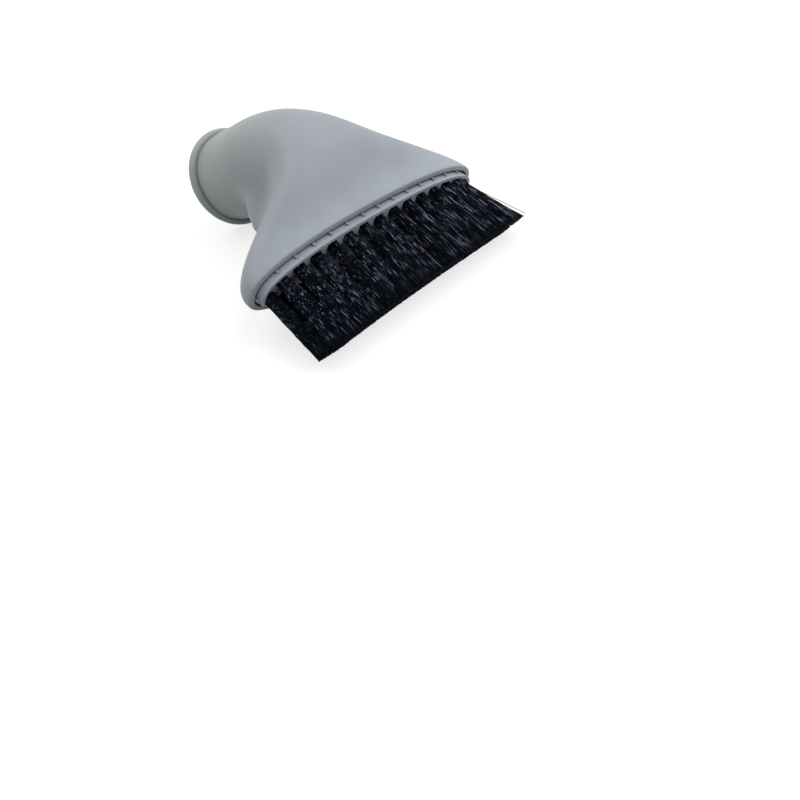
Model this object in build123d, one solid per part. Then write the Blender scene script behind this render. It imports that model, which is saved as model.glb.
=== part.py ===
from build123d import *
import math
import os

# Brush nozzle for a wet and dry vacuum: a moulded fan-shaped body, a brush insert and its bristle tufts.
#
# The pieces are modelled in the mouth's own frame: the origin is the middle of the mouth, X runs across it,
# Y runs back into the body and Z is up in the plane of the mouth. The finished nozzle is then laid down as it
# rests on a table, on the underside of its collar and on the tips of its lower bristles.

# Mouth of the body, in millimetres as all sizes here
mouth_width = 120.0
mouth_rise = 16.0
mouth_fall = 13.0
mouth_power = 2.4
lip_wall = 2.2
lip_land = 1.5
lip_round = 0.7

# Fan between the mouth and the neck
flare_length = 39.0
height_blend = 45.0
crown_height = 5.2
crown_length = 54.0
shoulder_power = 3.0
shoulder_depth = 30.0
round_depth = 45.0
web_start = 20.0
web_end = 68.0
web_spread = 1.5

# Neck, collar and socket
neck_reach = 84.0
neck_drop = 24.0
neck_pitch = 40.0
neck_straight = 32.8
elbow_diameter = 40.0
neck_diameter = 37.0
collar_diameter = 42.0
collar_width = 5.0
collar_bulge = 1.2
socket_bore = 32.0
socket_depth = 30.0
socket_lead_in = 1.0
airway_diameter = 28.6
airway_overlap = 3.0

# Brush insert
insert_proud = 2.8
insert_seat_depth = 4.6
insert_clearance = 0.15
seat_ledge = 1.4
groove_width = 1.0
groove_depth = 2.0
insert_rim = 1.3
face_recess = 1.2
rib_width = 0.9
rib_rise = 1.2
rib_gap = 0.25

# Bristle tufts and the flat wire anchors that hold them
tuft_count = 28
tuft_hole_diameter = 4.6
tuft_hole_depth = 5.2
tuft_hole_land = 0.4
tuft_clearance = 0.1
tuft_lobes = 8
tuft_groove = 0.82
tuft_tip_diameter = 6.6
bristle_length = 29.5
splay_out = 1.8
tip_row_half = 3.6
slot_land = 0.6
anchor_height = 1.6
anchor_thickness = 0.35
anchor_bite = 0.35
anchor_floor = 0.5

# Fineness of the drawn curves
oval_points = 24
fan_stations = 15
station_crowding = 1.2
spine_handle = 0.47

# Values that follow from the sizes above
mouth_half_width = mouth_width / 2
elbow_radius = elbow_diameter / 2
neck_radius = neck_diameter / 2
plug_inset = lip_wall + insert_clearance
rim_inset = plug_inset + groove_width
row_inset = rim_inset + insert_rim + tuft_hole_land + tuft_hole_diameter / 2
slot_inset = row_inset + tuft_hole_diameter / 2 + slot_land
face_y = face_recess - insert_proud
hole_floor_y = face_y + tuft_hole_depth
tip_y = -bristle_length


def oval_point(half_width, rise, fall, power, spread, angle):
    """The point of an oval at one angle of its round parent; the lower half may spread into a web."""
    across = half_width * math.copysign(abs(math.cos(angle)) ** (2 / power), math.cos(angle))
    up = abs(math.sin(angle)) ** (2 / power)
    if math.sin(angle) > 0:
        return Vector(across, rise * up)
    return Vector(across * (1 + spread * up**2), -fall * up)


def oval(*sizes):
    """The face of such an oval, drawn as one smooth closed curve."""
    shares = [step / oval_points for step in range(oval_points + 1)]
    points = [oval_point(*sizes, 2 * math.pi * share) for share in shares[:-1]]
    return make_face(Edge.make_spline(points, periodic=True, parameters=shares))


def mouth_oval(inset):
    """Sizes of the mouth's oval, drawn in from the outside of the lip."""
    return mouth_half_width - inset, mouth_rise - inset, mouth_fall - inset, mouth_power, 0


def ease(value):
    """A share from 0 to 1 that starts and ends level."""
    share = min(max(value, 0.0), 1.0)
    return 0.5 - 0.5 * math.cos(math.pi * share)


def mouth_plane(depth):
    """The plane across the mouth at a depth behind its lip, with its own X across and Y up."""
    return Plane(origin=(0, depth, 0), x_dir=(1, 0, 0), z_dir=(0, -1, 0))


def slab(inset, front, back):
    """A straight block of the mouth's oval, drawn in by an inset, between two depths of the mouth."""
    return extrude(mouth_plane(back) * oval(*mouth_oval(inset)), amount=back - front)


def neck_axis():
    """The neck's direction, out of its socket, and the middle of the socket's end."""
    pitch = math.radians(neck_pitch)
    outward = Vector(0, math.cos(pitch), -math.sin(pitch))
    end = Vector(0, neck_reach, -neck_drop) + outward * (collar_width / 2)
    return outward, end


def spine():
    """The middle line of the body, from the mouth to the end of the socket."""
    outward, end = neck_axis()
    elbow = end - outward * neck_straight
    land_end = Vector(0, lip_land, 0)
    handle = spine_handle * (elbow - land_end).length
    fan_line = Bezier(land_end, land_end + Vector(0, handle, 0), elbow - outward * handle, elbow)
    return Wire([Line((0, 0, 0), land_end), fan_line, Line(elbow, end)])


def station_sizes(depth, length):
    """Sizes of the oval of the body's outside, at a depth along a spine of this length."""
    behind = depth - lip_land
    taper = max(behind - flare_length, 0) / (length - lip_land - flare_length)
    tube = elbow_radius + (neck_radius - elbow_radius) * taper
    half_width = mouth_half_width + (tube - mouth_half_width) * ease(behind / flare_length)
    rounding = ease(behind / height_blend)
    crown = crown_height * math.sin(math.pi * min(behind / crown_length, 1.0)) ** 2
    rise = mouth_rise + (tube - mouth_rise) * rounding + crown
    fall = mouth_fall + (tube - mouth_fall) * rounding
    shoulder = mouth_power + (shoulder_power - mouth_power) * ease(behind / shoulder_depth)
    power = shoulder + (2 - shoulder) * ease((behind - shoulder_depth) / (round_depth - shoulder_depth))
    web_share = min(max((behind - web_start) / (web_end - web_start), 0.0), 1.0)
    return half_width, rise, fall, power, web_spread * math.sin(math.pi * web_share) ** 2


def body_loft(first, last, wall):
    """A smooth skin over the stations between two depths of the spine, drawn in by a wall."""
    line = spine()
    sections = []
    for step in range(fan_stations):
        depth = first + (last - first) * (step / (fan_stations - 1)) ** station_crowding
        half_width, rise, fall, power, spread = station_sizes(depth, line.length)
        inset = wall(depth)
        place = line.location_at(depth / line.length)
        direction = line.tangent_at(depth / line.length)
        plane = Plane(origin=place.position, x_dir=(1, 0, 0), z_dir=-direction)
        sections.append(plane * oval(half_width - inset, rise - inset, fall - inset, power, spread))
    return loft(sections)


def lip():
    """The straight land round the mouth, whose outer edge turns in by a quarter round."""
    edge = []
    for turn in (0, 30, 60, 90):
        inset = lip_round * (1 - math.sin(math.radians(turn)))
        depth = lip_round * (1 - math.cos(math.radians(turn)))
        edge.append(mouth_plane(depth) * oval(*mouth_oval(inset)))
    return loft(edge) + slab(0, lip_round, lip_land)


def socket_plane():
    """The plane of the socket's end, with its Z out of the socket along the neck."""
    outward, end = neck_axis()
    return Plane(origin=end, x_dir=(1, 0, 0), z_dir=outward)


def collar():
    """The rounded bead that stiffens the end of the socket."""
    outer = collar_diameter / 2
    side = outer - collar_bulge
    crown_line = ThreePointArc((side, 0), (outer, -collar_width / 2), (side, -collar_width))
    back_line = Polyline((side, -collar_width), (0, -collar_width), (0, 0), (side, 0))
    profile = make_face([crown_line, back_line])
    return socket_plane() * revolve(Plane.XZ * profile, Axis.Z)


def nozzle_body():
    """The one-piece moulding: fan, neck, collar, socket and the seat for the brush insert."""
    length = spine().length
    airway_end = length - socket_depth
    socket_wall = station_sizes(airway_end, length)[0] - airway_diameter / 2
    ledge_wall = lip_wall + seat_ledge

    def airway_wall(depth):
        share = (depth - insert_seat_depth) / (airway_end - insert_seat_depth)
        return ledge_wall + (socket_wall - ledge_wall) * share

    shell = lip() + body_loft(lip_land, length - collar_width / 2, lambda depth: 0) + collar()
    shell -= body_loft(insert_seat_depth - airway_overlap, airway_end + airway_overlap, airway_wall)
    shell -= slab(lip_wall, -lip_wall, insert_seat_depth)
    bore = Pos(0, 0, -socket_depth / 2) * Cylinder(socket_bore / 2, socket_depth)
    lead_in = Pos(0, 0, -socket_lead_in / 2) * Cone(
        socket_bore / 2, socket_bore / 2 + socket_lead_in, socket_lead_in
    )
    shell -= socket_plane() * (bore + lead_in)
    return shell


def row_places():
    """Where each tuft stands, evenly spaced along the upper and the lower half of the oval row, and its turn."""
    fine = 360
    half_count = tuft_count // 2
    places = []
    for start in (0, math.pi):
        ring = []
        for step in range(fine + 1):
            angle = start + math.pi * step / fine
            ring.append(oval_point(*mouth_oval(row_inset), angle))
        run = [0.0]
        for near, far in zip(ring, ring[1:]):
            run.append(run[-1] + (far - near).length)
        for number in range(half_count):
            want = run[-1] * number / half_count
            step = max(index for index in range(fine) if run[index] <= want)
            share = (want - run[step]) / (run[step + 1] - run[step])
            along = ring[step + 1] - ring[step]
            turn = math.degrees(math.atan2(along.Y, along.X))
            places.append((ring[step] + along * share, turn))
    return places


def anchor(spot, turn):
    """The flat wire that a tuft is folded over, pressed across the bottom of its hole."""
    strip = Box(tuft_hole_diameter + 2 * anchor_bite, anchor_thickness, anchor_height)
    depth = hole_floor_y - anchor_floor - anchor_height / 2
    return mouth_plane(depth) * Pos(spot.X, spot.Y) * Rot(Z=turn) * strip


def brush_insert(places, anchors):
    """The oval carrier that plugs into the mouth and holds the tufts round the suction slot."""
    plug = slab(plug_inset, groove_depth, insert_seat_depth)
    plug += slab(rim_inset, -insert_proud, groove_depth)
    plug -= slab(rim_inset + insert_rim, -2 * insert_proud, face_y)
    plug -= slab(slot_inset, -2 * insert_proud, 2 * insert_seat_depth)
    ribs = []
    for spot, turn in places:
        rib = Pos(row_inset - rim_inset, 0, 0) * Box(2 * groove_width, rib_width, groove_depth + rib_rise)
        depth = (groove_depth - rib_rise) / 2
        ribs.append(mouth_plane(depth) * Pos(spot.X, spot.Y) * Rot(Z=turn - 90) * rib)
    reach = slab(plug_inset + rib_gap, -insert_proud, groove_depth)
    plug += [rib & reach for rib in ribs]
    drilled = hole_floor_y + insert_proud
    hole = Cylinder(tuft_hole_diameter / 2, drilled)
    holes = [mouth_plane(hole_floor_y - drilled / 2) * Pos(spot.X, spot.Y) * hole for spot, turn in places]
    plug -= holes
    plug -= anchors
    return plug


def flat_face(corners):
    """A flat face with straight edges between its corners."""
    return make_face(Polyline(*corners, close=True))


def tuft(spot, turn):
    """One bundle of bristles: a ridged root in its hole that flares and leans out to its cut tip."""
    root_radius = tuft_hole_diameter / 2 - tuft_clearance
    tip_radius = tuft_tip_diameter / 2
    row_half_width = mouth_oval(row_inset)[0]
    tip_up = math.copysign(tip_row_half, spot.Y) if abs(spot.Y) > tuft_clearance else 0
    tip_spot = Vector(spot.X * (1 + splay_out / row_half_width), tip_up)

    def ridged(radius, middle, depth):
        corners = []
        for step in range(2 * tuft_lobes):
            angle = math.pi * step / tuft_lobes + math.radians(turn)
            reach = radius if step % 2 == 0 else radius * tuft_groove
            corners.append((middle.X + reach * math.cos(angle), depth, middle.Y + reach * math.sin(angle)))
        return corners

    floor = ridged(root_radius, spot, hole_floor_y)
    rim = ridged(root_radius, spot, -insert_proud)
    tip = ridged(tip_radius, tip_spot, tip_y)
    faces = [flat_face(floor), flat_face(tip)]
    for back, front in ((floor, rim), (rim, tip)):
        for step in range(2 * tuft_lobes):
            following = (step + 1) % (2 * tuft_lobes)
            faces.append(flat_face([back[step], back[following], front[following], front[step]]))
    return Solid(Shell(faces))


def resting_tilt():
    """The turn about X that brings the collar's underside and the lowest bristle tips level."""
    bead_radius = collar_diameter / 2
    low_tip = tip_row_half + tuft_tip_diameter / 2

    def drop(tilt):
        collar_low = neck_reach * math.sin(tilt) - neck_drop * math.cos(tilt)
        collar_low -= bead_radius * math.cos(math.radians(neck_pitch) - tilt)
        tips_low = tip_y * math.sin(tilt) - low_tip * math.cos(tilt)
        lip_low = -mouth_fall * math.cos(tilt)
        return collar_low - min(tips_low, lip_low)

    low, high = 0.0, math.radians(45)
    for _ in range(40):
        middle = (low + high) / 2
        low, high = (middle, high) if drop(middle) < 0 else (low, middle)
    return math.degrees(low)


def main():
    places = row_places()
    anchors = [anchor(spot, turn) for spot, turn in places]
    pieces = {
        "nozzle_body": nozzle_body(),
        "brush_insert": brush_insert(places, anchors),
        "tuft_anchors": Compound(children=anchors),
    }
    for number, (spot, turn) in enumerate(places, start=1):
        pieces[f"bristle_tuft_{number:02d}"] = tuft(spot, turn) - anchors[number - 1]

    turned = {name: Rot(X=resting_tilt()) * piece for name, piece in pieces.items()}
    box = Compound(children=[piece.moved(Location()) for piece in turned.values()]).bounding_box()
    to_table = Pos(0, -box.center().Y, -box.min.Z)
    os.makedirs("parts", exist_ok=True)
    for name, piece in turned.items():
        export_step(to_table * piece, f"parts/{name}.step")
    print("tilt", resting_tilt(), "shift", to_table.position, "size", box.size)


main()
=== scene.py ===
# %% [markdown]
# # A vacuum brush nozzle, dressed for its photograph
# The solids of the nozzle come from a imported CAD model: a moulded fan-shaped body, a brush insert that
# plugs into its mouth, and a ring of bristle tufts. This lesson loads them, keeps the moulded pieces as
# they are, grows real bristles where the CAD model has plain tufts, and gives every surface its own
# finish.

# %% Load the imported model
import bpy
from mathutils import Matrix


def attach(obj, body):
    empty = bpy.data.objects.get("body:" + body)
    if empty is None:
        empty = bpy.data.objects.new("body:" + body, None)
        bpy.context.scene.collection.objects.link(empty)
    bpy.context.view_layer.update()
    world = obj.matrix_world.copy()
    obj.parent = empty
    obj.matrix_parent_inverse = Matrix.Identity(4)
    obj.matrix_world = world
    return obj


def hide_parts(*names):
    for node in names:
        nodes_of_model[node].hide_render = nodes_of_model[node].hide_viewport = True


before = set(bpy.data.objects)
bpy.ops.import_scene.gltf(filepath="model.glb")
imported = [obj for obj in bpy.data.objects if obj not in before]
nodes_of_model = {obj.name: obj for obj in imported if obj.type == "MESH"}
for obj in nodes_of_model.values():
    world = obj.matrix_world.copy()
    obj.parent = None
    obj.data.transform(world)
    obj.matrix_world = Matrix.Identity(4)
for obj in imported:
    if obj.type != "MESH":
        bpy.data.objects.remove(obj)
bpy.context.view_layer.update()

# %% [markdown]
# ## Plain colours
# Blender can bend bright colours as film does. The photograph is a product picture on white, so the
# Standard view is chosen, which shows colours as they are worked out.

# %% Modules and the scene
import math
import bpy
from mathutils import Quaternion, Vector

scene = bpy.context.scene
scene.view_settings.view_transform = "Standard"
print("pieces in the model:", len(nodes_of_model))

# %% [markdown]
# ## The camera
# The photograph was taken from close by, in front of the mouth and to its left, looking down. A near
# camera makes the near end of the mouth look larger than the far end, so the place of the camera matters
# as much as its direction. The camera is put at its place, turned to look along its line, and rolled a
# little.

# %% Camera
camera_place = Vector((-0.157215, -0.202441, 0.130466))
camera_line = Vector((0.52296, 0.54592, -0.65459))
camera_roll = math.radians(-6.23)
lens_mm = 29.25
sensor_mm = 36.0
nearest_seen = 0.01

photo_camera = bpy.data.objects.new("photo_camera", bpy.data.cameras.new("photo_camera"))
photo_camera.data.sensor_width = sensor_mm
photo_camera.data.lens = lens_mm
photo_camera.data.clip_start = nearest_seen
photo_camera.location = camera_place
unrolled = camera_line.to_track_quat("-Z", "Y")
photo_camera.rotation_mode = "QUATERNION"
photo_camera.rotation_quaternion = unrolled @ Quaternion((0, 0, 1), camera_roll)
scene.collection.objects.link(photo_camera)
scene.camera = photo_camera
print("camera", round(camera_place.length * 1000), "mm from the middle of the nozzle's underside")

# %% [markdown]
# ## Small helpers for node networks
# A finish is a network of nodes, and so is the tree that grows the bristles. One helper adds a node and
# sets its inputs. An input is given by its name, or by i and its number where several inputs share a
# name. The other helpers wrap the four nodes that are used most.

# %% A node with its inputs set
def add_node(tree, kind, settings=None, **values):
    """A new node with its settings made and its inputs set, or joined where the value is a socket."""
    node = tree.nodes.new(kind)
    for name, value in (settings or {}).items():
        setattr(node, name, value)
    for name, value in values.items():
        key = int(name[1:]) if name[0] == "i" and name[1:].isdigit() else name.replace("_", " ")
        socket = node.inputs[key]
        if isinstance(value, bpy.types.NodeSocket):
            tree.links.new(value, socket)
        else:
            socket.default_value = value
    return node


print("add_node is ready")

# %% The four nodes that are used most
def calculate(tree, operation, first, second=0.0):
    """One step of arithmetic."""
    return add_node(tree, "ShaderNodeMath", {"operation": operation}, i0=first, i1=second).outputs[0]


def mix(tree, share, first, second, blend="MIX"):
    """A colour between two colours, or their product where the blend is MULTIPLY."""
    settings = {"data_type": "RGBA", "blend_type": blend}
    return add_node(tree, "ShaderNodeMix", settings, i0=share, i6=first, i7=second).outputs[2]


def remap(tree, value, old=(0.0, 1.0), new=(0.0, 1.0), curve="LINEAR"):
    """A value carried from an old range to a new one, and held inside it."""
    node = add_node(tree, "ShaderNodeMapRange", {"interpolation_type": curve}, Value=value,
                    From_Min=old[0], From_Max=old[1], To_Min=new[0], To_Max=new[1])
    return node.outputs["Result"]


def noise(tree, place, scale, detail, roughness=0.5):
    """Soft noise over a place, from 0 to 1."""
    node = add_node(tree, "ShaderNodeTexNoise", Vector=place, Scale=scale, Detail=detail,
                    Roughness=roughness)
    return node.outputs["Fac"]


print("calculate, mix, remap and noise are ready")

# %% [markdown]
# ## Starting a finish
# Every finish starts with the same three nodes: the shader, the output, and the Object coordinates that
# its patterns read. Those are in metres, so a noise scale of 1000 gives grains about one millimetre wide.

# %% An empty finish
def new_finish(name):
    """A material with an empty network, its shader and its Object coordinates."""
    finish = bpy.data.materials.new(name)
    finish.use_nodes = True
    tree = finish.node_tree
    tree.nodes.clear()
    shader = tree.nodes.new("ShaderNodeBsdfPrincipled")
    output = tree.nodes.new("ShaderNodeOutputMaterial")
    tree.links.new(shader.outputs["BSDF"], output.inputs["Surface"])
    place = tree.nodes.new("ShaderNodeTexCoord").outputs["Object"]
    return finish, tree, shader, place


print("finishes start from a Principled shader")

# %% [markdown]
# ## Moulded plastic
# The body and the insert are injection moulded in a cool grey plastic. Such a surface has a slow drift of
# shade and hue where the plastic flowed, a scatter of tiny specks and a fine spark-eroded grain. A painted
# image could hold all that, but it needs an unwrapped mesh. Noises at several scales need none, and they
# stay sharp from any distance. Shade in the creases is painted into the colour as well: an Ambient
# Occlusion node finds the groove round the insert by itself and darkens the colour there.

# %% Colour of the moulded pieces
cloud_shades = (0.93, 1.06)
rosy_hue = (1.05, 0.98, 1.03, 1)
green_hue = (0.95, 1.02, 0.99, 1)
speck_shades = (0.82, 1.0)
speck_share = 0.6
painted_shade_range = (0.5, 1.0)
painted_shade_reach = 0.0018


def plastic_colour(tree, place, front_colour, back_colour, turn_at, turn_over):
    """Grey that turns from front to back, with clouds, hues, specks and painted shade in creases."""
    depth = add_node(tree, "ShaderNodeSeparateXYZ", Vector=place).outputs["Y"]
    turn = remap(tree, depth, old=(turn_at - turn_over, turn_at + turn_over), curve="SMOOTHSTEP")
    colour = mix(tree, turn, front_colour, back_colour)
    clouds = noise(tree, place, scale=38.0, detail=3.0, roughness=0.55)
    cloud = remap(tree, clouds, old=(0.3, 0.7), new=cloud_shades)
    colour = mix(tree, 1.0, colour, cloud, "MULTIPLY")
    flow = noise(tree, place, scale=24.0, detail=1.0)
    colour = mix(tree, 1.0, colour, mix(tree, flow, rosy_hue, green_hue), "MULTIPLY")
    specks = add_node(tree, "ShaderNodeTexVoronoi", Vector=place, Scale=420.0, Randomness=1.0)
    speck = remap(tree, specks.outputs["Distance"], old=(0.05, 0.11), new=speck_shades)
    colour = mix(tree, speck_share, colour, speck, "MULTIPLY")
    # Painted shade: an Ambient Occlusion node darkens the colour in creases and round the insert.
    creases = add_node(tree, "ShaderNodeAmbientOcclusion", {"samples": 6}, Distance=painted_shade_reach)
    painted_crease_shade = remap(tree, creases.outputs["AO"], old=(0.25, 0.8), new=painted_shade_range)
    return mix(tree, 1.0, colour, painted_crease_shade, "MULTIPLY")


# The print gives the reach of the painted shade in creases.
print("dust lies in creases up to", painted_shade_reach * 1000, "mm from another face")

# %% Finish of the moulded pieces
def moulded_plastic(name, front_colour, back_colour, turn_at, turn_over, roughness):
    """Satin plastic with a fine grain, whose colour turns from the front of the nozzle to its back."""
    finish, tree, shader, place = new_finish(name)
    colour = plastic_colour(tree, place, front_colour, back_colour, turn_at, turn_over)
    tree.links.new(colour, shader.inputs["Base Color"])
    sheen = noise(tree, place, scale=260.0, detail=4.0)
    satin = remap(tree, sheen, new=(roughness - 0.06, roughness + 0.08))
    tree.links.new(satin, shader.inputs["Roughness"])
    grain = noise(tree, place, scale=2600.0, detail=2.0)
    bump = add_node(tree, "ShaderNodeBump", Strength=0.12, Distance=0.00006, Height=grain)
    tree.links.new(bump.outputs["Normal"], shader.inputs["Normal"])
    shader.inputs["Specular IOR Level"].default_value = 0.24
    return finish


body_plastic = moulded_plastic(
    "body_plastic",
    front_colour=(0.298, 0.326, 0.358, 1),
    back_colour=(0.300, 0.326, 0.324, 1),
    turn_at=0.008,
    turn_over=0.03,
    roughness=0.42,
)
insert_plastic = moulded_plastic(
    "insert_plastic",
    front_colour=(0.34, 0.375, 0.42, 1),
    back_colour=(0.28, 0.31, 0.335, 1),
    turn_at=0.0,
    turn_over=0.05,
    roughness=0.46,
)
print("plastic finishes:", body_plastic.name, insert_plastic.name)

# %% [markdown]
# ## Bristle nylon
# The bristles are black nylon with a touch of blue, and each one is a little lighter or darker than the
# next. Light catches the crests of their crimp: pale dots near the roots, longer streaks near the tips.
# Modelling each crest would take far too many faces, so the finish paints these glints into the colour.
# It reads three numbers that the tree below stores on every bristle: its tint, the place along its crimp,
# and how strong its painted glints are.

# %% Colour of the bristles
darkest_navy = (0.0010, 0.0018, 0.0048, 1)
lightest_navy = (0.0040, 0.0056, 0.0120, 1)
painted_glint_colour = (0.43, 0.46, 0.62, 1)
glint_starts = 0.53
glint_full = 0.68
glint_rarity = 3.2

bristle_nylon, tree, shader, place = new_finish("bristle_nylon")
tint, crimp, painted_shine = (
    add_node(tree, "ShaderNodeAttribute", {"attribute_name": name}).outputs["Fac"]
    for name in ("bristle_tint", "crimp_place", "painted_glint_strength")
)
# Painted highlights: pale glints mixed into the base colour where the crimp noise runs high.
crests = add_node(tree, "ShaderNodeTexNoise", {"noise_dimensions": "1D"}, W=crimp, Scale=1.0, Detail=1.0)
clumps = noise(tree, place, scale=230.0, detail=2.0)
clump_shift = remap(tree, clumps, old=(0.3, 0.7), new=(0.1, -0.1))
crest_height = calculate(tree, "SUBTRACT", crests.outputs["Fac"], clump_shift)
brightest = calculate(tree, "MULTIPLY", calculate(tree, "POWER", tint, glint_rarity), painted_shine)
painted_glint = remap(tree, crest_height, old=(glint_starts, glint_full), new=(0.0, brightest))
navy = mix(tree, tint, darkest_navy, lightest_navy)
tree.links.new(mix(tree, painted_glint, navy, painted_glint_colour), shader.inputs["Base Color"])
print(bristle_nylon.name, "has", len(tree.nodes), "nodes so far")

# %% Surface of the bristles
tree.links.new(remap(tree, clumps, new=(0.26, 0.5)), shader.inputs["Roughness"])
shader.inputs["Specular IOR Level"].default_value = 0.03
shader.inputs["Specular Tint"].default_value = (0.7, 0.8, 1.0, 1)
print("bristles are satin, with faint blue reflections")

# %% [markdown]
# ## Anchor wire
# Each tuft is folded over a short flat wire at the bottom of its hole. Almost nothing is seen of the
# wires, so they get a plain drawn steel with a fine noise in its shade.

# %% Finish of the anchors
anchor_wire, tree, shader, place = new_finish("anchor_wire")
drawn = noise(tree, place, scale=1800.0, detail=3.0)
tree.links.new(remap(tree, drawn, new=(0.4, 0.62)), shader.inputs["Base Color"])
shader.inputs["Metallic"].default_value = 1.0
shader.inputs["Roughness"].default_value = 0.35
print("anchor finish:", anchor_wire.name)

# %% [markdown]
# ## Dressing the CAD nodes
# The body, the insert and the anchors have the right shape already, so they only change their material.
# The material goes into the slots of the object, and the mesh itself is left alone.

# %% Materials on the CAD pieces that stay
for node_name, finish in (
    ("nozzle_body", body_plastic),
    ("brush_insert", insert_plastic),
    ("tuft_anchors", anchor_wire),
):
    for slot in nodes_of_model[node_name].material_slots:
        slot.material = finish
    print(node_name, "wears", finish.name)

# %% [markdown]
# ## A tree that grows one tuft
# A tuft is a pinch of crimped nylon, folded in half and pressed into its hole. From the hole the bristles
# fan out until they meet those of the next tuft, and their tips are trimmed. Hair particles could do
# this, but the export keeps plain meshes only, so a Geometry Nodes tree makes them. Its inputs are the
# sizes of a tuft in metres. The default values are those of a plain black tuft.

# %% Tree inputs and outputs
tuft_tree = bpy.data.node_groups.new("bristle_tuft_tree", "GeometryNodeTree")
for name, kind, value in (
    ("Root Centre", "NodeSocketVector", (0, 0, 0)),
    ("Tip Centre", "NodeSocketVector", (0, 0, 1)),
    ("Rise", "NodeSocketVector", (0, 0, 1)),
    ("Trim Rise", "NodeSocketVector", (0, 0, 1)),
    ("Root Radius", "NodeSocketFloat", 0.0022),
    ("Tip Radius", "NodeSocketFloat", 0.0033),
    ("Tip Width", "NodeSocketFloat", 0.0047),
    ("Bristles", "NodeSocketInt", 420),
    ("Bristle Radius", "NodeSocketFloat", 0.0001),
    ("Bow", "NodeSocketFloat", 0.88),
    ("Crimp Depth", "NodeSocketFloat", 0.00014),
    ("Crimps", "NodeSocketFloat", 16.0),
    ("Tip Scatter", "NodeSocketVector", (0.0005, 0.0001, 0.00015)),
    ("Shine", "NodeSocketFloat", 1.0),
    ("Seed", "NodeSocketInt", 1),
    ("Material", "NodeSocketMaterial", None),
):
    socket = tuft_tree.interface.new_socket(name, in_out="INPUT", socket_type=kind)
    if value is not None:
        socket.default_value = value
tuft_tree.interface.new_socket("Geometry", in_out="OUTPUT", socket_type="NodeSocketGeometry")
given = tuft_tree.nodes.new("NodeGroupInput").outputs
number = add_node(tuft_tree, "GeometryNodeInputIndex").outputs[0]
print("tuft tree takes", len(tuft_tree.interface.items_tree) - 1, "values")

# %% [markdown]
# ## Arithmetic in the tree
# A tree has no formulas: each sum and product is a node. These helpers let the next cells read like
# formulas all the same. The last two keep a value on the geometry under a name and read it back further
# on.

# %% Numbers and vectors in the tree
def maths(operation, first, second=0.0):
    """One step of arithmetic in the tuft tree."""
    return calculate(tuft_tree, operation, first, second)


def vector_maths(operation, first, second=(0, 0, 0)):
    """One step of arithmetic with vectors in the tuft tree."""
    node = add_node(tuft_tree, "ShaderNodeVectorMath", {"operation": operation}, i0=first, i1=second)
    return node.outputs["Value" if operation == "DOT_PRODUCT" else "Vector"]


def scaled(vector, amount):
    """A vector made longer or shorter by an amount."""
    node = add_node(tuft_tree, "ShaderNodeVectorMath", {"operation": "SCALE"}, i0=vector, Scale=amount)
    return node.outputs["Vector"]


print("maths, vector_maths and scaled are ready")

# %% Random draws and stored values in the tree
def random_value(kind, low, high, seed_shift):
    """A random number or vector for each bristle, fixed by the seed."""
    first = 0 if kind == "FLOAT_VECTOR" else 2
    ends = {"i%d" % first: low, "i%d" % (first + 1): high}
    node = add_node(tuft_tree, "FunctionNodeRandomValue", {"data_type": kind}, ID=number,
                    Seed=maths("ADD", given["Seed"], seed_shift), **ends)
    return node.outputs[0 if kind == "FLOAT_VECTOR" else 1]


def keep(geometry, name, kind, value):
    """Stores a value on every point of the geometry under a name."""
    settings = {"data_type": kind, "domain": "POINT"}
    node = add_node(tuft_tree, "GeometryNodeStoreNamedAttribute", settings, Geometry=geometry, Name=name,
                    Value=value)
    return node.outputs["Geometry"]


def stored(name, kind):
    """Reads back a value stored under a name."""
    node = add_node(tuft_tree, "GeometryNodeInputNamedAttribute", {"data_type": kind}, Name=name)
    return node.outputs["Attribute"]


print("random_value, keep and stored are ready")

# %% [markdown]
# ## Where a bristle starts and ends
# Seen along the tuft, the bristles fill a round hole at the root and a wider oval at the tips. A
# sunflower fills a disc evenly by turning each seed by the golden angle, and the same pattern serves here
# twice, so that a bristle keeps its neighbours on its way. The tips also get a small random shift.

# %% Start and end of every bristle, on a golden-angle spiral
golden_angle = math.pi * (3 - math.sqrt(5))
seeds = add_node(tuft_tree, "GeometryNodePoints", Count=given["Bristles"]).outputs[0]
reach = maths("SQRT", maths("DIVIDE", maths("ADD", number, 0.5), given["Bristles"]))
angle = maths("MULTIPLY", number, golden_angle)
across = maths("MULTIPLY", maths("COSINE", angle), reach)
upward = maths("MULTIPLY", maths("SINE", angle), reach)


def spot(centre, width, height, height_line):
    """The place of a bristle in an oval around a centre."""
    sideways = scaled((1, 0, 0), maths("MULTIPLY", across, width))
    lift = scaled(height_line, maths("MULTIPLY", upward, height))
    return vector_maths("ADD", centre, vector_maths("ADD", sideways, lift))


either_way = random_value("FLOAT_VECTOR", (-1, -1, -1), (1, 1, 1), seed_shift=0)
scatter = vector_maths("MULTIPLY", either_way, given["Tip Scatter"])
root_spot = spot(given["Root Centre"], given["Root Radius"], given["Root Radius"], given["Rise"])
trim_spot = spot(given["Tip Centre"], given["Tip Width"], given["Tip Radius"], given["Trim Rise"])
planted = keep(seeds, "root_spot", "FLOAT_VECTOR", root_spot)
planted = keep(planted, "tip_spot", "FLOAT_VECTOR", vector_maths("ADD", trim_spot, scatter))
planted = keep(planted, "bristle_tint", "FLOAT", random_value("FLOAT", 0.0, 1.0, seed_shift=1))
print("each bristle carries its start, its end and a tint")

# %% [markdown]
# ## The way between
# A straight line of a few points stands on every start. Each point is then moved between the two ends. It
# goes evenly along the tuft, and a little sooner to the side, which is the bow of a bristle that its
# neighbours push out. A small ripple round that way is the crimp.

# %% A line for every bristle, bowed outwards
points_along = 10

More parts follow.
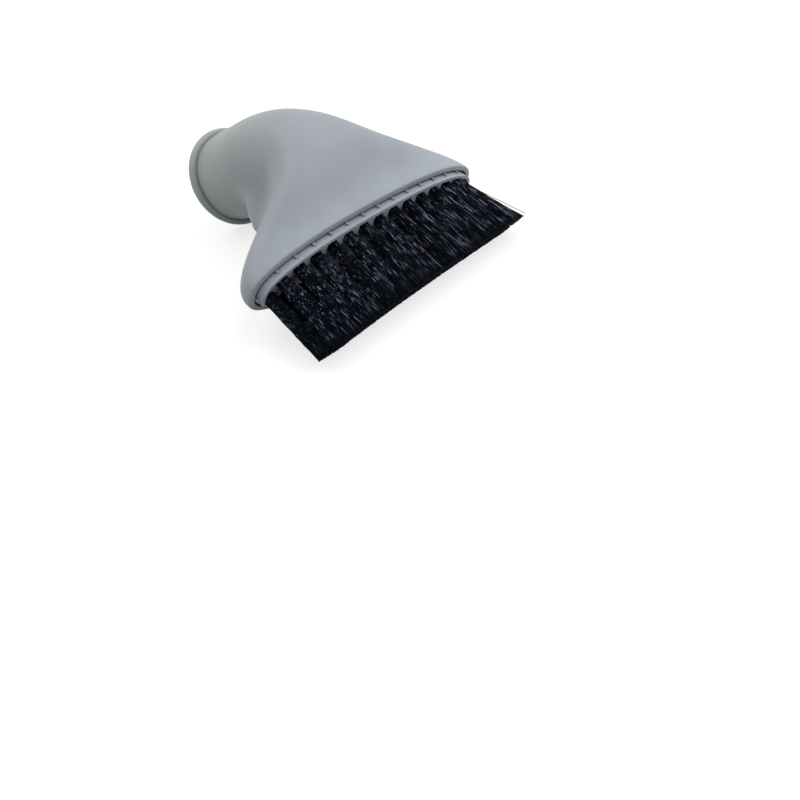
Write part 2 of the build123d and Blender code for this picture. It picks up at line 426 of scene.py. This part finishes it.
rod = add_node(tuft_tree, "GeometryNodeCurvePrimitiveLine", End=(0, 0, 1)).outputs["Curve"]
steps = add_node(tuft_tree, "GeometryNodeResampleCurve", Curve=rod, Count=points_along).outputs["Curve"]
placed = add_node(tuft_tree, "GeometryNodeInstanceOnPoints", Points=planted, Instance=steps)
lines = add_node(tuft_tree, "GeometryNodeRealizeInstances", Geometry=placed.outputs["Instances"])
share = add_node(tuft_tree, "GeometryNodeSplineParameter").outputs["Factor"]
start = stored("root_spot", "FLOAT_VECTOR")
lean = vector_maths("SUBTRACT", stored("tip_spot", "FLOAT_VECTOR"), start)
axis = vector_maths("NORMALIZE", vector_maths("SUBTRACT", given["Tip Centre"], given["Root Centre"]))
straight = scaled(axis, vector_maths("DOT_PRODUCT", lean, axis))
sideways = vector_maths("SUBTRACT", lean, straight)
bow = scaled(sideways, maths("POWER", share, given["Bow"]))
path = vector_maths("ADD", scaled(straight, share), bow)
print("a bristle has", points_along, "points along it")

# %% The crimp round that way
ripples = 3.5
ripple_stagger = 7.0
ripple_growth = 4.0

tint = stored("bristle_tint", "FLOAT")
turns = maths("ADD", maths("MULTIPLY", share, ripples), maths("MULTIPLY", tint, ripple_stagger))
wave = maths("MULTIPLY", turns, 2 * math.pi)
grown = maths("MINIMUM", maths("MULTIPLY", share, ripple_growth), 1.0)
depth = maths("MULTIPLY", given["Crimp Depth"], grown)
ripple_across = scaled((1, 0, 0), maths("MULTIPLY", maths("COSINE", wave), depth))
ripple_up = scaled(given["Rise"], maths("MULTIPLY", maths("SINE", wave), depth))
ripple = vector_maths("ADD", ripple_across, ripple_up)
spot_along = vector_maths("ADD", start, vector_maths("ADD", path, ripple))
bowed = add_node(tuft_tree, "GeometryNodeSetPosition", Geometry=lines.outputs["Geometry"],
                 Position=spot_along)
print("a bristle ripples", ripples, "times on its way")

# %% [markdown]
# ## Marks for the glints
# The finish needs to know where on its crimp each point lies, to place the painted glints. The count of
# crimps runs fast near the root and slowly near the tip, which turns the painted dots into streaks, and
# every bristle starts at a count of its own. The painted glints fade over the last few hundredths of a
# bristle, so its cut end stays dark.

# %% Crimp place and shine along every bristle
crimp_thinning = 1.9
crimp_stagger = 97.0
tip_fade = 30.0

left = maths("SUBTRACT", 1.0, share)
crimps_left = maths("POWER", left, crimp_thinning)
crimps_so_far = maths("MULTIPLY", maths("SUBTRACT", 1.0, crimps_left), given["Crimps"])
crimp_place = maths("ADD", crimps_so_far, maths("MULTIPLY", tint, crimp_stagger))
marked = keep(bowed.outputs["Geometry"], "crimp_place", "FLOAT", crimp_place)
# The painted glints fade out towards the cut end of every bristle.
faded = maths("MINIMUM", maths("MULTIPLY", left, tip_fade), 1.0)
marked = keep(marked, "painted_glint_strength", "FLOAT", maths("MULTIPLY", faded, given["Shine"]))
print("shine fades over the last", round(1 / tip_fade, 3), "of a bristle")

# %% [markdown]
# ## From lines to a mesh
# Curve to Mesh sweeps a profile along every line. Three sides are enough for a bristle a fifth of a
# millimetre thick, and they keep thousands of them light. The two spots have served and are removed, so
# that the mesh keeps only what the finish reads.

# %% Skin of the bristles, real mesh and material
bristle_sides = 3
profile = add_node(tuft_tree, "GeometryNodeCurvePrimitiveCircle", Resolution=bristle_sides,
                   Radius=given["Bristle Radius"])
skin = add_node(tuft_tree, "GeometryNodeCurveToMesh", Curve=marked, Profile_Curve=profile.outputs["Curve"],
                Fill_Caps=True).outputs["Mesh"]
for spent in ("root_spot", "tip_spot"):
    skin = add_node(tuft_tree, "GeometryNodeRemoveAttribute", Geometry=skin, Name=spent).outputs["Geometry"]
real = add_node(tuft_tree, "GeometryNodeRealizeInstances", Geometry=skin)
coloured = add_node(tuft_tree, "GeometryNodeSetMaterial", Geometry=real.outputs["Geometry"],
                    Material=given["Material"])
tuft_out = tuft_tree.nodes.new("NodeGroupOutput")
tuft_tree.links.new(coloured.outputs["Geometry"], tuft_out.inputs[0])
print("tuft tree has", len(tuft_tree.nodes), "nodes")

# %% [markdown]
# ## Reading the CAD tufts
# Every CAD tuft already says where its bristles start and end: one flat face lies at the bottom of the
# hole and the other at the tips. Reading both faces from the mesh keeps the bristles on their CAD tuft.
# The mouth is tilted down to the table, so the tufts point along a line of their own.

# %% Where each tuft starts and ends
mouth_tilt = math.radians(18.359)
outward = Vector((0, -math.cos(mouth_tilt), -math.sin(mouth_tilt)))
rise = Vector((0, -math.sin(mouth_tilt), math.cos(mouth_tilt)))
cap_depth = 0.0001


def disc_of(points):
    """Middle and largest radius of a flat set of points."""
    middle = sum(points, Vector()) / len(points)
    return middle, max((point - middle).length for point in points)


def tuft_ends(tuft):
    """The root disc and the tip disc of a CAD tuft."""
    corners = [tuft.matrix_world @ vertex.co for vertex in tuft.data.vertices]
    reaches = [corner.dot(outward) for corner in corners]
    root = [c for c, r in zip(corners, reaches) if r < min(reaches) + cap_depth]
    tip = [c for c, r in zip(corners, reaches) if r > max(reaches) - cap_depth]
    return disc_of(root), disc_of(tip)


tuft_names = sorted(name for name in nodes_of_model if name.startswith("bristle_tuft"))
ends = {name: tuft_ends(nodes_of_model[name]) for name in tuft_names}
tip_centres = [tip_centre for _, (tip_centre, _) in ends.values()]
middle_of_tips = sum(tip_centres, Vector()) / len(tip_centres)
print("tufts to grow:", len(tuft_names))

# %% [markdown]
# ## Trimming the brush
# The brush is trimmed with one slanting cut: the upper tips reach further out than the lower ones, and
# the upper row leans a little towards the lower one. The near end of the brush has spread, as old brushes
# do, and its tips reach furthest. The last tuft there faces away from the light, so its painted glints are
# fainter. So the values of a tuft depend on its height in the ring and on its share of the way to the
# near end.

# %% Sizes of the trim
row_closing = 0.3
trim_slant = 0.39
trim_back = 0.0012
near_overhang = 0.0024
near_end_spread = 0.0014
widest_tip = 0.0049
root_play = 0.0002
tip_play = 0.0010
fewest_crimps = 4.2
more_crimps_near = 18.0
shaded_end_x = -0.053
shaded_end_glints = 0.35

far_side = max(centre.x for centre in tip_centres)
lowest_row = min((centre - middle_of_tips).dot(rise) for centre in tip_centres)
print("the lowest tips lie", round(-lowest_row * 1000, 1), "mm under the middle of the brush")

# %% The values of one tuft
def tuft_values(name):
    """What the tree needs to grow the bristles of one CAD tuft, apart from its seed and material."""
    (root_centre, root_radius), (tip_centre, tip_radius) = ends[name]
    height = (tip_centre - middle_of_tips).dot(rise)
    drop = max(0.0, height) * row_closing
    trim_radius = tip_radius - tip_play
    over_lowest = height - drop - lowest_row + trim_radius
    near_share = (far_side - tip_centre.x) / (2 * far_side)
    overhang = trim_slant * over_lowest - trim_back + near_overhang * near_share ** 3
    end_spread = near_end_spread if tip_centre.x < 0 else 0.0
    room = far_side + tip_radius + end_spread - abs(tip_centre.x)
    return {
        "Root Centre": root_centre,
        "Tip Centre": tip_centre - rise * drop + outward * overhang,
        "Rise": rise,
        "Trim Rise": rise + outward * trim_slant,
        "Root Radius": root_radius - root_play,
        "Tip Radius": trim_radius,
        "Tip Width": min(widest_tip, room),
        "Crimps": fewest_crimps + more_crimps_near * near_share ** 2,
        # The end tuft faces away from the light, so its painted glints are fainter.
        "Shine": shaded_end_glints if tip_centre.x < shaded_end_x else 1.0,
    }


first_width = tuft_values(tuft_names[0])["Tip Width"]
print("the first tuft spreads", round(first_width * 1000, 1), "mm to each side")

# %% [markdown]
# ## Growing the ring of tufts
# The tree runs once for each tuft, as the modifier of a helper object without faces. Its result is turned
# into a plain mesh, and the helper is removed with its modifier. The inputs of a modifier are set by
# their identifiers, because two inputs could share a name.

# %% Grow a tuft as a plain mesh
input_ids = {
    item.name: item.identifier
    for item in tuft_tree.interface.items_tree
    if item.item_type == "SOCKET" and item.in_out == "INPUT"
}


def grow(name, values):
    """Runs the tuft tree with these values and returns its result as a plain mesh object."""
    maker = bpy.data.objects.new(name + "_maker", bpy.data.meshes.new(name + "_maker"))
    scene.collection.objects.link(maker)
    modifier = maker.modifiers.new("tuft", "NODES")
    modifier.node_group = tuft_tree
    for label, value in values.items():
        modifier[input_ids[label]] = value
    bpy.context.view_layer.update()
    graph = bpy.context.evaluated_depsgraph_get()
    mesh = bpy.data.meshes.new_from_object(maker.evaluated_get(graph))
    bpy.data.objects.remove(maker)
    mesh.name = name
    piece = bpy.data.objects.new(name, mesh)
    scene.collection.objects.link(piece)
    return piece


print("inputs of the tree:", ", ".join(input_ids))

# %% Grow each tuft and let it stand for its CAD node
first_seed = 100
seed_step = 10

bristle_total = 0
for number_of_tuft, name in enumerate(tuft_names, start=1):
    values = tuft_values(name)
    values["Seed"] = first_seed + seed_step * number_of_tuft
    values["Material"] = bristle_nylon
    brush = grow("bristles_" + name[-2:], values)
    bristle_total += len(brush.data.polygons)
    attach(brush, "root")
    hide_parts(name)
print("bristle faces in all:", bristle_total)

# %% [markdown]
# ## A few stray bristles
# At one end of the brush a few bristles have bent out of their tuft, and their nylon is streaked pale and
# dark beside the black ones. The same tree grows them: it only gets fewer bristles, a tip farther out and
# a paler finish.

# %% Finish of the stray bristles
pale_stray_nylon, tree, shader, place = new_finish("pale_stray_nylon")
streak = noise(tree, place, scale=700.0, detail=2.0)
pale_streaks = mix(tree, streak, (0.08, 0.085, 0.08, 1), (0.40, 0.40, 0.38, 1))
tree.links.new(pale_streaks, shader.inputs["Base Color"])
shader.inputs["Roughness"].default_value = 0.35
print("stray finish:", pale_stray_nylon.name)

# %% Stray bristles at the far end
stray_gap = 0.0019
stray_overhang = 0.0008
stray_root_play = 0.0008

end_tuft = max(tuft_names, key=lambda name: ends[name][1][0].x)
(root_centre, root_radius), (tip_centre, tip_radius) = ends[end_tuft]
stray_bristles = grow("stray_bristles", {
    "Root Centre": root_centre,
    "Tip Centre": tip_centre + Vector((tip_radius + stray_gap, 0, 0)) + outward * stray_overhang,
    "Rise": rise,
    "Trim Rise": rise,
    "Root Radius": root_radius - stray_root_play,
    "Tip Radius": 0.0011,
    "Tip Width": 0.0007,
    "Bristles": 5,
    "Bristle Radius": 0.00022,
    "Bow": 1.1,
    "Crimp Depth": 0.0,
    "Seed": 7,
    "Material": pale_stray_nylon,
})
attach(stray_bristles, "root")
print("stray bristles:", len(stray_bristles.data.polygons), "faces")

# %% [markdown]
# ## Floor and background
# The nozzle lies on a plain white table, and its shadow is faint. The table is a matt grey sheet with a
# glow that only the camera and mirror-like rays can see. The glow gives most of the white of the
# photograph without more light on the nozzle. What the lamps add to it is missing in the shadow, so the
# shadow stays, but soft.

# %% What the camera sees as white
def seen_directly(tree):
    """1 for rays from the camera, from gloss and through glass, and 0 for the rays that light things."""
    paths = add_node(tree, "ShaderNodeLightPath").outputs
    seen = calculate(tree, "MAXIMUM", paths["Is Camera Ray"], paths["Is Glossy Ray"])
    return calculate(tree, "MAXIMUM", seen, paths["Is Transmission Ray"])


print("white is for the camera, gloss and glass")

# %% White table
half = 3.0
table_drop = 0.0002

corners = [(-half, -half, 0), (half, -half, 0), (half, half, 0), (-half, half, 0)]
table_mesh = bpy.data.meshes.new("white_table")
table_mesh.from_pydata(corners, [], [(0, 1, 2, 3)])
white_table = bpy.data.objects.new("white_table", table_mesh)
white_table.location.z = -table_drop
scene.collection.objects.link(white_table)
print("table is", 2 * half, "m wide")

# %% Finish of the table
table_grey = 0.36
table_glow = 0.71

table_white, tree, shader, _ = new_finish("table_white")
shader.inputs["Base Color"].default_value = (table_grey, table_grey, table_grey, 1)
shader.inputs["Roughness"].default_value = 0.9
shader.inputs["Specular IOR Level"].default_value = 0.1
glow = calculate(tree, "MULTIPLY", seen_directly(tree), table_glow)
shader.inputs["Emission Color"].default_value = (1, 1, 1, 1)
tree.links.new(glow, shader.inputs["Emission Strength"])
table_mesh.materials.append(table_white)
print("table finish:", table_white.name, "glows at", table_glow)

# %% [markdown]
# ## Soft studio light
# The photograph has hardly any shadow, so its light was large and soft. A wide square lamp to the right
# gives the fan its brightness, a smaller one behind lifts the neck, and the white room fills in the rest.
# The room itself shows as plain white.

# %% Lamps
def soft_box(name, place, target, size, power):
    """A square lamp that shines from its place towards a target."""
    lamp = bpy.data.lights.new(name, "AREA")
    lamp.size = size
    lamp.energy = power
    holder = bpy.data.objects.new(name, lamp)
    holder.location = place
    holder.rotation_mode = "QUATERNION"
    holder.rotation_quaternion = (Vector(target) - Vector(place)).to_track_quat("-Z", "Y")
    scene.collection.objects.link(holder)


nozzle_middle = (0, 0, 0.02)
soft_box("key_box", (0.56, -0.34, 0.72), nozzle_middle, size=1.2, power=7.4)
soft_box("back_box", (-0.2, 0.5, 0.75), nozzle_middle, size=0.7, power=2.6)

# %% White room
room_light = 0.6
room_white = 1.0

white_room = bpy.data.worlds.new("white_room")
white_room.use_nodes = True
tree = white_room.node_tree
tree.nodes.clear()
strength = remap(tree, seen_directly(tree), new=(room_light, room_white))
air = add_node(tree, "ShaderNodeBackground", Color=(1, 1, 1, 1), Strength=strength)
add_node(tree, "ShaderNodeOutputWorld", Surface=air.outputs["Background"])
scene.world = white_room
print("the room lights at", room_light, "and is seen at", room_white)
